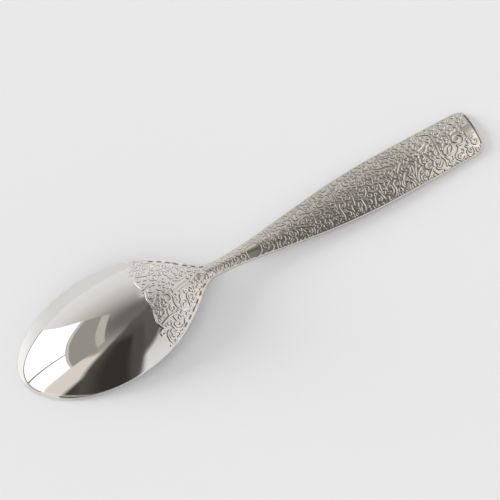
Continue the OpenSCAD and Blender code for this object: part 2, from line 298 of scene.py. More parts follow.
# Scrolls of the handle, from the shank to the end
handleLines = [
    [(97.5, -4.1), (98.4, -3.5), (99.2, -4.1), (99, -4.9)], [(99.4, 2.8), (98.5, 2), (97.1, 1.3)],
    [(99.9, -2.8), (100.8, -2.1), (102.1, -2.2), (102.3, -3.1), (101.2, -3.9), (100.1, -3.8)],
    [(100.1, 0.2), (99.7, 1.4), (100.6, 2.1), (101.9, 1.8), (101.7, 0.7), (100.9, 0.7)],
    [(103, 3.7), (103.5, 2.1), (103.4, 0.6), (102.8, -0.2), (101.7, -0.5)],
    [(103.8, -2.2), (103.6, -3.5), (103.1, -4.9)], [(104.7, -0.2), (106.2, 0.5), (107.3, 0.6)],
    [(105, -2.5), (104.4, -3.7), (104.7, -4.6), (105.7, -5)],
    [(105.8, 2.8), (107.1, 3), (108.7, 2.4), (110.2, 2.2)], [(107.3, 1.7), (107.5, 0.7)],
    [(107.4, -1.6), (107.4, -2.8), (106.2, -3.5), (105.5, -4.1)],
    [(108.6, -4.1), (109.6, -3.4), (110.6, -3.5), (111.1, -4.5), (110.7, -5.3), (109.7, -5.3)],
    [(108.8, -4.7), (107.7, -5.3), (106.6, -5.2), (105.9, -5.2)], [(109.5, -0.5), (110.1, 0.2), (111.1, 0.3)],
    [(110.8, 4.4), (110.7, 3.1)], [(111.7, -1.1), (112.8, -0.7), (113.7, -1.1), (115, -1.6), (116.5, -2.2)],
    [(112, -1.4), (112.4, -2.4), (112.2, -3.3)], [(112.3, 2.1), (112.3, 1.1), (111.9, 0.2)],
    [(113.7, 3.9), (113.5, 2.4), (114.2, 1.7), (115.7, 1.8)],
    [(113.8, -0.2), (114.6, 0.6), (116.2, 0.9), (117.8, 1.2), (119, 0.4), (119.5, -0.7)],
    [(113.9, -3.4), (112.7, -4.1)], [(114.8, -2.8), (115.2, -4.1)], [(115.3, 3.3), (115, 2.3)],
    [(115.8, 4.6), (116.7, 5.3), (117.8, 4.8)], [(117.6, 0.2), (117.1, -1.1)], [(118, 4.7), (118.5, 3.7)],
    [(118, 2.5), (119.1, 2), (120.6, 1.6)], [(118.4, -6.2), (119.4, -5.3), (120.7, -5.1)],
    [(118.5, -3.9), (118.3, -5.2), (117.9, -6.2)], [(120, -1.1), (120.9, -0.6), (122.2, -0.7)],
    [(120.8, 4), (120.9, 2.6), (119.8, 1.9)], [(122.3, 0.2), (123.2, 0.5), (123.3, -0.4), (122.5, -0.8)],
    [(122.5, 6.1), (122.6, 4.6), (121.7, 4), (120.4, 3.8)], [(123.5, -3.2), (122.9, -4.7), (123.2, -5.7)],
    [(124, -1.6), (125.1, -0.9), (126.2, -1.5), (127.1, -2.6)],
    [(124.8, 0), (125.9, 0.7), (126.7, 0.2), (126.9, -0.8)], [(124.9, -4), (125.1, -5.3), (125.2, -6.3)],
    [(126, 6.8), (125.7, 5.1)], [(126.7, -4.2), (125.8, -5)], [(127.9, -3.6), (129, -3), (129.1, -3.8)],
    [(128.9, -5.8), (127.7, -6.6)],
    [(131.1, 7.2), (131.2, 5.7), (131.3, 4.6), (130.7, 2.9), (130.7, 1.5), (130.8, 0.2)],
    [(132.1, -0.8), (131.2, -0.6), (130.6, -1.4), (130.4, -2.7), (130.5, -4.1), (130.6, -5.5), (130.2, -7.1)],
    [(132.7, -0.8), (132.7, -1.9), (131.8, -2.8)],
    [(133.9, 2.6), (133.2, 3.3), (132.1, 2.9), (131.7, 1.8), (132.4, 1), (133.2, 1.4)],
    [(134.6, 5.8), (133.6, 4.5), (132.1, 3.9), (131, 3.1)], [(134.6, -3.5), (134.3, -4.5), (134.5, -5.7)],
    [(134.9, -2), (133.9, -2.3), (133.5, -3.1)],
    [(136.3, 2.4), (136.5, 0.8), (136.4, -0.6), (136.2, -2.2), (135.7, -4)],
    [(137.2, 1.9), (138.6, 2.4), (139.8, 1.9)], [(137.3, -3.7), (136.6, -5.1)],
    [(137.4, 0.3), (137.6, -0.4), (137.2, -0.7)], [(137.4, -5.5), (137.3, -6.6), (136.7, -7.3)],
    [(138.8, -0.8), (138.5, -1.7)], [(138.9, -3.3), (138.9, -4.8), (139, -6.2), (138.4, -7.6)],
    [(139.6, 1.7), (138.9, 1)], [(140.2, 5.2), (141.5, 5.4), (141.9, 4.2), (141.3, 3.4)],
    [(140.4, -4.7), (141.5, -4.6), (141.9, -5.8), (140.9, -6.2), (140.3, -5.5)],
    [(142, 0.8), (142, -0.5), (141.6, -1.7), (140.5, -2.7), (139.1, -3.2), (137.7, -2.9), (136.7, -2)],
    [(143.5, -5), (143.1, -6.5), (142.4, -7.8)], [(143.6, 4.2), (143.3, 3.2), (143.2, 2), (142.4, 1.2)],
    [(143.9, -3), (145.4, -2.6), (146.1, -2.2)], [(144.5, -0.5), (146, -0.3), (147.4, -0.5)],
    [(145.7, 3), (146, 1.6), (145.6, 0.3)], [(146.1, -3.6), (146.4, -4.9), (146.7, -6.4), (146.9, -7.7)],
    [(147.4, -1.3), (147.2, -2.8), (146.9, -4.2)], [(147.5, 2.7), (147.5, 1.5), (146.7, 0.8)],
    [(147.7, 0.2), (149, 0.8), (150.4, 0.7)],
    [(148.4, -5.9), (149.5, -6.7), (150.9, -6.2), (151.1, -5.2), (150.2, -5)],
    [(148.8, 4.6), (150.5, 3.8), (152, 3.6), (153.5, 3.3), (154.7, 2.6)],
    [(149.3, 0.4), (150.5, 0.6), (151.1, -0.4)], [(149.5, -1.7), (148.8, -2.5), (149.2, -3.6), (148.8, -4.6)],
    [(151.4, -2.1), (149.7, -3.2)], [(151.9, 7.4), (152.1, 5.6), (152.1, 4.1)],
    [(152.6, -0.2), (153.8, 0.4), (154.9, 0.7), (156, 1.3), (156, 2.2)],
    [(153.2, -2.8), (152, -3.7), (152.1, -5.2), (152, -6.5), (151.1, -7.7), (149.9, -8.2)],
    [(153.8, -6.4), (154.1, -7.3), (153.3, -7.6)], [(154.9, 0.7), (155, -0.3)],
    [(155.1, -2.3), (156, -1.9), (155.9, -2.7)],
    [(156.6, -6.2), (157.8, -5.9), (158.8, -6.4), (159, -7.8), (158.6, -8.7)],
    [(157.2, -2.9), (156.4, -4), (155.3, -4.8), (154.7, -6), (155.2, -6.7)], [(157.2, -7.1), (156.8, -8.4)],
    [(157.8, -2.3), (156.8, -3.2), (156.3, -4.1), (155.3, -4.9), (155, -5.9), (155.3, -6.6)],
    [(158.4, 2.1), (156.9, 0.8), (155.4, -0.9)], [(158.7, -3.5), (159, -4.7), (159.6, -5.8), (159.9, -7)],
    [(160.1, 0.6), (161.2, 1.1), (162.3, 0.8), (163.1, 0.1), (163, -0.7), (162.2, -0.9), (161.9, -0.3)],
    [(160.2, 3.4), (159.9, 2), (159.1, 1.3)], [(160.6, -1.2), (160.1, -2.4), (159.4, -2.6)],
    [(161.4, -0.9), (161.3, -2), (161.2, -3), (160.7, -4.1)],
    [(163.4, -0.4), (162.8, -2), (161.9, -3.3), (161.3, -5.1), (160.7, -6.6)],
    [(164.1, -3.4), (162.6, -4.5), (161.5, -6.3), (161, -7.8)],
    [(165.1, 0.3), (165.8, 0.9), (166.8, 0.7), (167.3, -0.1), (166.8, -1), (166.1, -0.9)],
    [(165.2, -0.6), (164.8, -1.7), (165.2, -2.8)],
    [(165.4, -5.4), (163.7, -5.9), (162.6, -6.3), (162.4, -7.5), (162.7, -8.1)],
    [(166.3, 2.5), (168.1, 3.1), (169.4, 3.7), (170.3, 4.4)],
    [(168.1, -5.7), (168.2, -6.9), (168.6, -8), (169.5, -8.6)],
    [(168.2, -3), (166.8, -3.1), (166, -3.7), (166, -4.6), (166.8, -5.2), (167.8, -5)],
    [(168.2, -5.4), (167.1, -6.4), (165.6, -7.7), (164.6, -8.4)],
    [(168.8, -5.2), (169.3, -4.1), (170.3, -3.6), (171.1, -3.6)], [(169.1, -1.7), (169.2, -2.4), (169.6, -3)],
    [(169.4, -6.2), (169.9, -7), (170.8, -7.2), (171.9, -6.6), (172.8, -5.7)],
    [(170.6, 7.4), (172, 7), (173.2, 5.9), (173.6, 4.8)],
    [(171, 2.9), (169.9, 2.5), (169.1, 1.4), (167.9, 0.8)],
    [(171.9, -5.1), (171.1, -6), (170.2, -6.4), (170.1, -5.5)],
    [(172.1, -0.3), (171.3, -0.9), (171.3, -1.7), (172.1, -1.1)],
    [(173.5, 4.5), (173.5, 2.7), (173.3, 0.4), (173, -1.7), (173.1, -3.5), (173.6, -4.7), (173.6, -6.2),
     (173.2, -7.5)],
    [(176.5, 1.7), (176.1, 0.8), (175.1, 0.1)], [(176.9, 4), (177.7, 3.2), (178.7, 2.7), (178.8, 1.2)],
    [(177.1, -0.9), (175.9, -1.3), (174.8, -2), (174.6, -3.1), (175.4, -3.9), (176.7, -4), (178, -3.1),
     (178.6, -2), (178.3, -0.8)],
    [(177.5, -1.5), (176.6, -2.1), (176.3, -3.1), (175.7, -3.4)],
    [(179.9, -6), (179, -6.1), (178.6, -6.7), (179, -7.2), (179.7, -6.8)],
    [(179.9, 2.4), (181, 2.8), (182, 2.8), (182.9, 3.2)],
    [(180.2, -3.6), (179.3, -4.7), (178, -5.5), (177.7, -6.5), (178.2, -7.5), (179.1, -8.2), (180.1, -8.1),
     (180.9, -7.4)],
    [(180.3, -2.7), (182, -2.9), (183.3, -2.1), (183.7, -0.7), (183.2, 0.5), (182, 1.1), (180.6, 1.1),
     (179.8, 0.4), (179.7, -0.6), (180.8, -1.3), (181.9, -0.8), (181.8, -0.1)],
    [(182.5, -6.2), (182.2, -7.3), (182.7, -8.3), (184, -8.4), (184.9, -7.7), (185.3, -6.6), (185, -5.8)],
    [(182.8, -4.4), (183.3, -5.3), (183.2, -6.6), (183.8, -7.1), (184.4, -6.4), (184.2, -5.8)],
    [(184.1, 3), (183.4, 2.1)], [(185.4, 4.5), (185, 3.9)], [(186.1, -6.8), (185.9, -7.7), (186.3, -8.2)],
    [(187.1, -7.2), (187.1, -8.2)],
]
handleWidths = (0.9, 1.15)
for line in handleLines:
    zone = "end" if line[0][0] > ornament["endFrom"] else "grip"
    raiseLine(smoothLine(line), zone, rng.uniform(*handleWidths))

# Plain shield where the handle's scrollwork starts, and a plain plate at the end, with thin raised frames
frames = [[(92.5, 0.9), (93.8, 1.5), (95.5, 1.7), (97.1, 1.5)],
          [(97.1, 1.5), (97.9, 0.2), (98.1, -1.2), (97.6, -2.5)],
          [(97.6, -2.5), (96.4, -3.2), (94.6, -3.6), (92.6, -3.6)],
          [(92.6, -3.6), (92.2, -2.2), (92.2, -0.6), (92.5, 0.9)],
          [(185.2, 3.2), (188.0, 3.2)], [(185.2, -1.4), (188.0, -1.4)], [(185.2, 3.2), (185.2, -1.4)]]
frameWidth = 0.9
for line in frames:
    raiseLine(smoothLine(line), "grip", frameWidth)

# Sunk line inside the rounded edge of the end
endLine = {"inset": 1.0, "low": -6.0, "high": 6.2, "depth": 0.06, "half": 0.38}
endY = np.arange(endLine["low"], endLine["high"], ornament["lineStep"])
endX = [fieldX[edgeDistance(fieldX, np.full_like(fieldX, y)) >= endLine["inset"]].max() for y in endY]
sinkLine(np.column_stack([endX, endY]), endLine["depth"], endLine["half"])

plain = [((95.1, -0.9), (2.7, 2.4)), ((186.7, 0.9), (1.5, 2.2))]   # middles and half sizes
inPlain = np.zeros(relief.shape, bool)
for (cx, cy), (rx, ry) in plain:
    inPlain |= (np.abs(fieldX[:, None] - cx) < rx) & (np.abs(fieldY[None, :] - cy) < ry)


curl = {"from": 75, "to": 91.0, "darts": 600, "pitch": 2.3, "spread": (0.92, 1.12), "radius": 1.05,
        "sizes": (0.8, 1.1), "turns": (0.8, 1.2), "angles": (0, 6.28), "core": 0.45, "opening": 0.9,
        "bud": 0.05, "fewest": 12, "meanRadius": 0.6, "edge": 0.6, "overlap": 0.55, "leastSway": 0.3}


# A spiral that unwinds to its outer end at the angle given
def spiral(centre, radius, turn, endAngle, turns):
    length = turns * 2 * math.pi * radius * curl["meanRadius"]
    t = np.linspace(0, 1, max(curl["fewest"], int(length / ornament["lineStep"])))
    angle = endAngle - turn * turns * 2 * math.pi * (1 - t)
    r = curl["core"] + (radius - curl["core"]) * t ** curl["opening"]
    return np.column_stack([centre[0] + r * np.cos(angle), centre[1] + r * np.sin(angle)])


# Spirals along the neck, thrown like darts and kept where they have room
def scatterScrolls():
    c, centres = curl, []
    for _ in range(c["darts"]):
        x = rng.uniform(c["from"], c["to"])
        limit = max(c["leastSway"], float(halfWidth(np.array(x))) - c["edge"] - c["overlap"] * c["radius"])
        y = rng.uniform(-limit, limit)
        if all(math.hypot(x - a, y - b) > c["pitch"] * rng.uniform(*c["spread"]) for a, b in centres):
            centres.append((x, y))
            raiseLine(spiral((x, y), c["radius"] * rng.uniform(*c["sizes"]), rng.choice((-1, 1)),
                             rng.uniform(*c["angles"]), rng.uniform(*c["turns"])), "grip", bud=c["bud"])
    return len(centres)


fill = {"most": 1500, "edge": 0.7, "look": 0.9, "directions": 16,
        "hookFrom": 1.0, "hookLargest": 2.4, "hookTurn": (3.8, 6.2), "hookSpan": (0.14, 0.52),
        "hookPoints": 40, "hookWidth": (0.8, 1.0), "hookBud": 0.04,
        "dotLong": 0.05, "inset": 0.45, "commaLong": (0.9, 1.7), "commaBend": (0.15, 0.5),
        "commaWidth": (0.65, 0.9)}


# Hooks, commas and dots in what is still empty, the widest gap first
def fillGaps(x0, x1, zone):
    f, count = fill, 0
    inside = (fieldEdge > f["edge"] * bandShare) & ~inPlain
    inside &= (fieldX[:, None] > x0) & (fieldX[:, None] < x1)
    around = np.linspace(0, 2 * math.pi, f["directions"], endpoint=False)
    while count < f["most"]:
        room = np.where(inside, clear, 0)
        i, j = np.unravel_index(np.argmax(room), room.shape)
        if room[i, j] < ornament[zone]["gap"]:
            break
        px, py, space = fieldX[i], fieldY[j], room[i, j]
        si = np.clip(np.searchsorted(fieldX, px + f["look"] * np.cos(around)), 0, len(fieldX) - 1)
        sj = np.clip(np.searchsorted(fieldY, py + f["look"] * np.sin(around)), 0, len(fieldY) - 1)
        score = clear[si, sj] + np.roll(clear[si, sj], f["directions"] // 2)
        a = around[np.argmax(score)]
        if space > f["hookFrom"]:
            turn = rng.choice((-1, 1))
            t = np.linspace(0, 1, f["hookPoints"])
            bend = a + turn * t * rng.uniform(*f["hookTurn"])
            r = min(space, f["hookLargest"]) * (f["hookSpan"][0] + f["hookSpan"][1] * t)
            line = np.column_stack([px + r * np.cos(bend), py + r * np.sin(bend)])
            raiseLine(line, zone, rng.uniform(*f["hookWidth"]), f["hookBud"])
        else:
            long = max(f["dotLong"], (space - f["inset"]) * rng.uniform(*f["commaLong"]))
            t = np.linspace(-1, 1, max(2, int(long / f["dotLong"])))
            curve = rng.uniform(*f["commaBend"]) * long * (1 - t * t) * rng.choice((-1, 1))
            line = np.column_stack([px + long * t * math.cos(a) - curve * math.sin(a),
                                    py + long * t * math.sin(a) + curve * math.cos(a)])
            raiseLine(line, zone, rng.uniform(*f["commaWidth"]))
        count += 1
    return count


besideNeck = ease(-np.abs(fieldX - ornament["neckMiddle"]), *(-reach for reach in ornament["neckReach"]))
bandShare = (1 - (1 - ornament["neckBand"]) * besideNeck)[:, None]
fieldEdge = edgeDistance(fieldX[:, None], fieldY[None, :])
spirals = scatterScrolls()
fills = fillGaps(ornament["heelFrom"], ornament["heelTo"], "heel")
fills += fillGaps(ornament["heelTo"], ornament["endFrom"], "grip")
fills += fillGaps(ornament["endFrom"], ornament["endTo"], "end")
relief *= ease(fieldEdge / bandShare, *ornament["band"])
print("scrolls", len(heelLines) + len(handleLines) + spirals, "fills", fills)


def reliefAt(x, y):
    o = ornament
    fx = np.clip((x - o["x0"]) / o["step"], 0, len(fieldX) - 2)
    fy = np.clip((y + o["y1"]) / o["step"], 0, len(fieldY) - 2)
    i, j = fx.astype(int), fy.astype(int)
    a, b = fx - i, fy - j
    return ((relief[i, j] * (1 - a) + relief[i + 1, j] * a) * (1 - b)
            + (relief[i, j + 1] * (1 - a) + relief[i + 1, j + 1] * a) * b) * (x > o["x0"])


# Rounding of the back's edge: how far the surface has dropped there
def roundedOff(distance, radius):
    e = np.clip(distance, 0, radius)
    return radius - np.sqrt(np.maximum(radius ** 2 - (radius - e) ** 2, 0))


edgeShares = np.array([0, 0.04, 0.12, 0.25, 0.42, 0.64])   # steps over an edge, in shares of its radius
leastGap = 0.05   # closest that a row comes to the last one, in millimetres


# Points across a row: fine steps inside the rounded edges, even ones between
def across(half, radius, count):
    half, radius = np.asarray(half)[:, None], np.broadcast_to(radius, len(half))[:, None]
    edge = radius * edgeShares
    middle = np.linspace(-1, 1, count)
    return np.concatenate([-half + edge, middle * (half - radius), half - edge[:, ::-1]], axis=1)


def addObject(name, data):
    added = bpy.data.objects.new(name, data)
    bpy.context.scene.collection.objects.link(added)
    return added


def setAttribute(mesh, name, values):
    flat = np.asarray(values, np.float32).ravel()
    mesh.attributes.new(name, "FLOAT", "POINT").data.foreach_set("value", flat)


# A mesh in metres; the sharp faces are the flat cuts between pieces
def makePiece(name, points, faces, heights, sharpFaces):
    mesh = bpy.data.meshes.new(name)
    shifted = (points - (spoon["length"] / 2, 0, 0)) * mm
    mesh.from_pydata(shifted.tolist(), [], faces)
    mesh.polygons.foreach_set("use_smooth", [i not in sharpFaces for i in range(len(mesh.polygons))])
    setAttribute(mesh, "relief", heights)
    setAttribute(mesh, "worked", ease(points[:, 0], *ornament["worked"]))
    mesh.validate()
    rims = {key for i in sharpFaces for key in mesh.polygons[i].edge_keys}
    mesh.edges.foreach_set("use_edge_sharp", [edge.key in rims for edge in mesh.edges])
    mesh.update()
    print(name, len(mesh.vertices), "points", len(mesh.polygons), "faces")
    return addObject(name, mesh)


# Closed bar between a fine grid over its back and a coarser one over its front, with as many rows
def barPiece(name, rows, radius, count, frontCount):
    half = halfWidth(rows)
    y = across(half, radius, count)
    x = np.repeat(rows[:, None], y.shape[1], 1)
    lift = reliefAt(x, y)
    smooth = backHeight(x, np.clip(y / half[:, None], -1, 1))
    back = np.stack([x, y, smooth + lift - roundedOff(edgeDistance(x, y), radius[:, None])], 2)
    floorZ = frontLine(rows)
    inner = np.linspace(-1, 1, frontCount)[None] * (half[:, None] - spoon["bevel"])
    fy = np.concatenate([-half[:, None], inner, half[:, None]], 1)
    fz = np.repeat(floorZ[:, None], fy.shape[1], 1)
    fz[:, 0] += spoon["bevel"]
    fz[:, -1] += spoon["bevel"]
    under = np.stack([np.repeat(rows[:, None], fy.shape[1], 1), fy, fz], 2)
    n, m, k = len(rows), y.shape[1], fy.shape[1]
    base = n * m
    faces = []
    for i in range(n - 1):
        for j in range(m - 1):
            faces.append((i * m + j, (i + 1) * m + j, (i + 1) * m + j + 1, i * m + j + 1))
        for j in range(k - 1):
            a, c = base + i * k + j, base + (i + 1) * k + j
            faces.append((a, a + 1, c + 1, c))
        faces.append((i * m, base + i * k, base + (i + 1) * k, (i + 1) * m))
        faces.append((i * m + m - 1, (i + 1) * m + m - 1, base + (i + 1) * k + k - 1, base + i * k + k - 1))
    caps = {len(faces), len(faces) + 1}
    faces.append([*range(m), *range(base + k - 1, base - 1, -1)])
    last, lastUnder = (n - 1) * m, base + (n - 1) * k
    faces.append([*range(last + m - 1, last - 1, -1), *range(lastUnder, lastUnder + k)])
    points = np.vstack([back.reshape(-1, 3), under.reshape(-1, 3)])
    heights = np.concatenate([lift.reshape(-1), np.zeros(n * k)])
    return makePiece(name, points, faces, heights, caps)


print("bowl")
bowl = {"edge": 0.22, "count": 201, "rays": 121, "frontCount": 41,   # edge: radius of the rounded edge
        "plainStep": 0.7, "heelFrom": 49.5, "heelStep": 0.15}


# Dished shell: rays round the tip, then rows along the heel
def bowlPiece():
    s, b = spoon, bowl
    half = s["bowlWidth"] / 2
    rows = np.concatenate([np.arange(s["wideX"] + b["plainStep"], b["heelFrom"], b["plainStep"]),
                           np.arange(b["heelFrom"], s["heelX"] - leastGap, b["heelStep"]), [s["heelX"]]])
    theta = np.radians(np.linspace(-90, 90, b["rays"]))

    # Half width of the hollow beside the heel
    def hollowHalf(x):
        return halfWidth(x) - s["rim"] + (s["rim"] - s["bevel"]) * ease(x, s["wideX"], s["heelX"])

    def skin(width, wide, long, height):
        columns = width.shape[1]
        middle = columns // 2
        share = width[0, middle + 1:] / wide
        px = s["wideX"] - long * share[None] * np.cos(theta)[:, None]
        py = wide * share[None] * np.sin(theta)[:, None]
        rest = np.repeat(rows[:, None], columns, 1)
        xs = np.concatenate([[s["wideX"]], px.ravel(), rest.ravel()])
        ys = np.concatenate([[0.0], py.ravel(), width[1:].ravel()])
        rho = np.concatenate([[0.0], np.repeat(share[None], len(theta), 0).ravel(),
                              np.full(rest.size, -1.0)])   # below 0 outside the rays
        return np.column_stack([xs, ys, height(xs, ys, rho)]), middle

    def topHeight(x, y, rho):
        h = np.maximum(halfWidth(x), 1e-4)
        u = np.where(rho >= 1, 1.0, np.clip(y / h, -1, 1))
        distance = np.where(rho >= 0, (1 - rho) * half, h - np.abs(y))
        return backHeight(x, u) + reliefAt(x, y) - roundedOff(distance, b["edge"])

    def underHeight(x, y, rho):
        inner = s["wideX"] - s["rim"]
        tipHalf = (half - s["rim"]) * np.sqrt(np.clip(1 - ((s["wideX"] - x) / inner) ** 2, 0, 1))
        innerHalf = np.maximum(np.where(rho >= 0, tipHalf, hollowHalf(x)), 1e-4)
        u = np.where(rho >= 1, 1.0, np.clip(y / innerHalf, -1, 1))
        return frontLine(x) + hollowAt(x) * arch(u)

    allRows = np.concatenate([[s["wideX"]], rows])
    top, k = skin(across(halfWidth(allRows), b["edge"], b["count"]), half, s["wideX"], topHeight)
    inner = np.linspace(-1, 1, b["frontCount"])[None] * hollowHalf(allRows)[:, None]
    under, kf = skin(inner, half - s["rim"], s["wideX"] - s["rim"], underHeight)
    # Outer foot of the rim, one point for each ray end and row end
    chainX = np.concatenate([rows[::-1], s["wideX"] * (1 - np.cos(theta)), rows])
    chainY = np.concatenate([-halfWidth(rows)[::-1], half * np.sin(theta), halfWidth(rows)])
    chainZ = frontLine(chainX) + s["bevel"] * ease(chainX, s["wideX"], s["heelX"])
    foot = np.column_stack([chainX, chainY, chainZ])
    points = np.vstack([top, under, foot])
    faces = []
    n = len(theta)

    def grid(base, k, flip):
        def at(i, j):
            if i == 0:   # the widest row is made of the first and the last ray
                return base + (0 if j == k else k - j if j < k else (n - 1) * k + j - k)
            return base + 1 + n * k + (i - 1) * (2 * k + 1) + j
        quads = []
        for i in range(n - 1):
            a, c = base + 1 + i * k, base + 1 + (i + 1) * k
            quads.append((base, c, a))
            quads += [(a + j, c + j, c + j + 1, a + j + 1) for j in range(k - 1)]
        for i in range(len(rows)):
            quads += [(at(i, j), at(i + 1, j), at(i + 1, j + 1), at(i, j + 1)) for j in range(2 * k)]
        faces.extend(q[::-1] if flip else q for q in quads)
        chain = [at(i, 0) for i in range(len(rows), 0, -1)]
        chain += [base + 1 + i * k + k - 1 for i in range(n)]
        chain += [at(i, 2 * k) for i in range(1, len(rows) + 1)]
        return chain, [at(len(rows), j) for j in range(2 * k + 1)]

    topChain, topEnd = grid(0, k, False)
    underChain, underEnd = grid(len(top), kf, True)
    footChain = list(range(len(top) + len(under), len(points)))
    for upper, lower in ((topChain, footChain), (footChain, underChain)):
        for i in range(len(upper) - 1):
            faces.append((upper[i], upper[i + 1], lower[i + 1], lower[i]))
    caps = {len(faces)}
    faces.append(topEnd[::-1] + [footChain[0]] + underEnd + [footChain[-1]])
    lift = np.concatenate([reliefAt(top[:, 0], top[:, 1]), np.zeros(len(under) + len(foot))])
    return makePiece("polished_bowl", points, faces, lift, caps)


bowlObject = bowlPiece()

print("neck")
neck = {"edge": ((70.5, 80, 94.5), (0.22, 0.3, 0.3)), "count": 75, "step": 0.12, "frontCount": 9}
neckCount = int((spoon["shankX"] - spoon["heelX"]) / neck["step"])
neckRows = np.linspace(spoon["heelX"], spoon["shankX"], neckCount)
neckEdge = np.interp(neckRows, *neck["edge"])   # radius of the rounded edges, between a few places
neckObject = barPiece("scrolled_neck", neckRows, neckEdge, neck["count"], neck["frontCount"])

print("handle")
handle = {"edge": ((94.5, 120, 150), (0.3, 0.35, 0.6)), "count": 125, "step": 0.15, "frontCount": 9,
          "fineFrom": 187.6, "fineRows": 34, "crowding": 1.7}
crowded = np.linspace(1, 0, handle["fineRows"]) ** handle["crowding"]
tail = spoon["length"] - (spoon["length"] - handle["fineFrom"]) * crowded
handleRows = np.concatenate([np.arange(spoon["shankX"], handle["fineFrom"] - leastGap, handle["step"]), tail])
handleEdge = np.interp(handleRows, *handle["edge"])
handleObject = barPiece("scrolled_handle", handleRows, handleEdge, handle["count"], handle["frontCount"])

print("materials")


# One shader node with its settings and its links
def addNode(tree, kind, settings=None, links=None):
    node = tree.nodes.new(kind)
    for key, value in (settings or {}).items():
        if key in node.inputs:
            node.inputs[key].default_value = value
        else:
            setattr(node, key, value)
    for key, source in (links or {}).items():
        tree.links.new(source, node.inputs[key])
    return node


# A value carried from one range into another, held at both ends
def addRange(tree, source, old, new=(0, 1)):
    settings = dict(zip(("From Min", "From Max", "To Min", "To Max"), (*old, *new)))
    return addNode(tree, "ShaderNodeMapRange", settings, {"Value": source}).outputs["Result"]


# A colour ramp, from positions and their colours
def addRamp(tree, source, stops):
    ramp = addNode(tree, "ShaderNodeValToRGB", None, {"Fac": source})
    for position in list(stops)[1:-1]:
        ramp.color_ramp.elements.new(position)
    for element, (position, colour) in zip(ramp.color_ramp.elements, stops.items()):
        element.position, element.color = position, linear(colour)
    return ramp.outputs["Color"]


def newMaterial(name):
    material = bpy.data.materials.new(name)
    material.use_nodes = True
    material.node_tree.nodes.clear()
    return material, material.node_tree


# Stainless steel: buffed to a mirror where plain, so the room shows in it under faint wipe marks, and tumbled
# where stamped, so scrolls and ground shine softly; painted shade darkens the feet of the scrolls and the
# sunk marks
def steelMaterial(name, look):
    material, tree = newMaterial(name)
    worked, height = (addNode(tree, "ShaderNodeAttribute", {"attribute_name": key}).outputs["Fac"]
                      for key in ("worked", "relief"))
    place = addNode(tree, "ShaderNodeTexCoord").outputs["Object"]
    smudge, grain = (addNode(tree, "ShaderNodeTexNoise", {"Scale": 1 / (size * mm), "Detail": detail},
                             {"Vector": place}).outputs["Fac"] for size, detail in look["noise"])
    # Painted shade: the feet of the raised scrolls and the sunk marks get darker tints than the ground and
    # the tops
    steps = {0.0: "shadedGroove", 0.3: "shadedGroove", 0.44: "ground", 0.5: "ground", 0.675: "foot", 1.0: "top"}
    stampedTintAndShade = addRamp(tree, addRange(tree, height, (-0.08, 0.1)),
                          {position: look[part] for position, part in steps.items()})
    tint = addNode(tree, "ShaderNodeMix", {"data_type": "RGBA"}, {0: worked, 7: stampedTintAndShade})
    tint.inputs[6].default_value = linear(look["mirror"])
    mirrorRough = addRange(tree, smudge, (0.35, 0.7), look["mirrorRough"])
    stampedRough = addRange(tree, height, (0.01, 0.1), look["stampedRough"])
    rough = addNode(tree, "ShaderNodeMix", {"data_type": "FLOAT"},
                    {0: worked, 2: mirrorRough, 3: stampedRough})
    bump = addNode(tree, "ShaderNodeBump", {"Distance": look["grainDeep"] * mm, "Strength": 0.3},
                   {"Height": grain})
    steel = addNode(tree, "ShaderNodeBsdfPrincipled", {"Metallic": 1.0},
                    {"Base Color": tint.outputs[2], "Roughness": rough.outputs[0],
                     "Normal": bump.outputs["Normal"]})
    addNode(tree, "ShaderNodeOutputMaterial", None, {"Surface": steel.outputs["BSDF"]})
    return material


# In both looks foot and groove are painted shade, darker tints beside and inside the relief where shade falls
mirrorLook = {"mirror": "#e6e4e1", "top": "#eeebe7", "foot": "#69645d", "ground": "#f0ede9",
              "shadedGroove": "#7d7770", "mirrorRough": (0.03, 0.06), "stampedRough": (0.34, 0.18),
              "noise": ((9, 4), (0.5, 3)), "grainDeep": 0.0004}   # noise: mm and detail of wipes, of grain
stampedLook = {**mirrorLook, "foot": "#8a867f", "ground": "#dfdbd5", "stampedRough": (0.2, 0.14),
               "noise": ((9, 4), (0.3, 3)), "grainDeep": 0.002}
mirror = steelMaterial("stainless_steel_mirror_buffed", mirrorLook)
stamped = steelMaterial("stainless_steel_stamped_tumbled", stampedLook)
for piece, node, slot, material in ((bowlObject, "bowl", "polished_steel", mirror),
                                    (neckObject, "neck", "patterned_steel", stamped),
                                    (handleObject, "handle", "patterned_steel", stamped)):
    piece.data.materials.append(material)
    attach(piece, "root")
    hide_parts(node)

print("studio")


# A stage object; one that glows is seen only in reflections
def addStage(name, points, faces, material, glows=True):
    mesh = bpy.data.meshes.new(name)
    mesh.from_pydata(points, [], faces)
    mesh.materials.append(material)
    panel = addObject(name, mesh)
    if glows:
        panel.visible_camera = panel.visible_diffuse = panel.visible_shadow = False
    return mesh


# Matt lacquer: no sheen at all, so the table stays an even pale tone from every side
def lacquerMaterial(name, colour, rough):
    material, tree = newMaterial(name)
    paint = addNode(tree, "ShaderNodeBsdfPrincipled",
                    {"Base Color": linear(colour), "Roughness": rough, "Specular IOR Level": 0.0})
    addNode(tree, "ShaderNodeOutputMaterial", None, {"Surface": paint.outputs["BSDF"]})
    return material


# Light from a part of the room, even or clearing away towards soft edges
def glowMaterial(name, colour, level, soft=False):
    material, tree = newMaterial(name + "_glow")
    glow = addNode(tree, "ShaderNodeEmission", {"Color": linear(colour), "Strength": level})
    surface = glow.outputs["Emission"]
    if soft:
        amount = addNode(tree, "ShaderNodeAttribute", {"attribute_name": "fade"})
        clearPart = addNode(tree, "ShaderNodeBsdfTransparent")
        mixed = addNode(tree, "ShaderNodeMixShader", None,
                        {0: amount.outputs["Fac"], 1: clearPart.outputs["BSDF"], 2: surface})
        surface = mixed.outputs["Shader"]
    addNode(tree, "ShaderNodeOutputMaterial", None, {"Surface": surface})
    return material


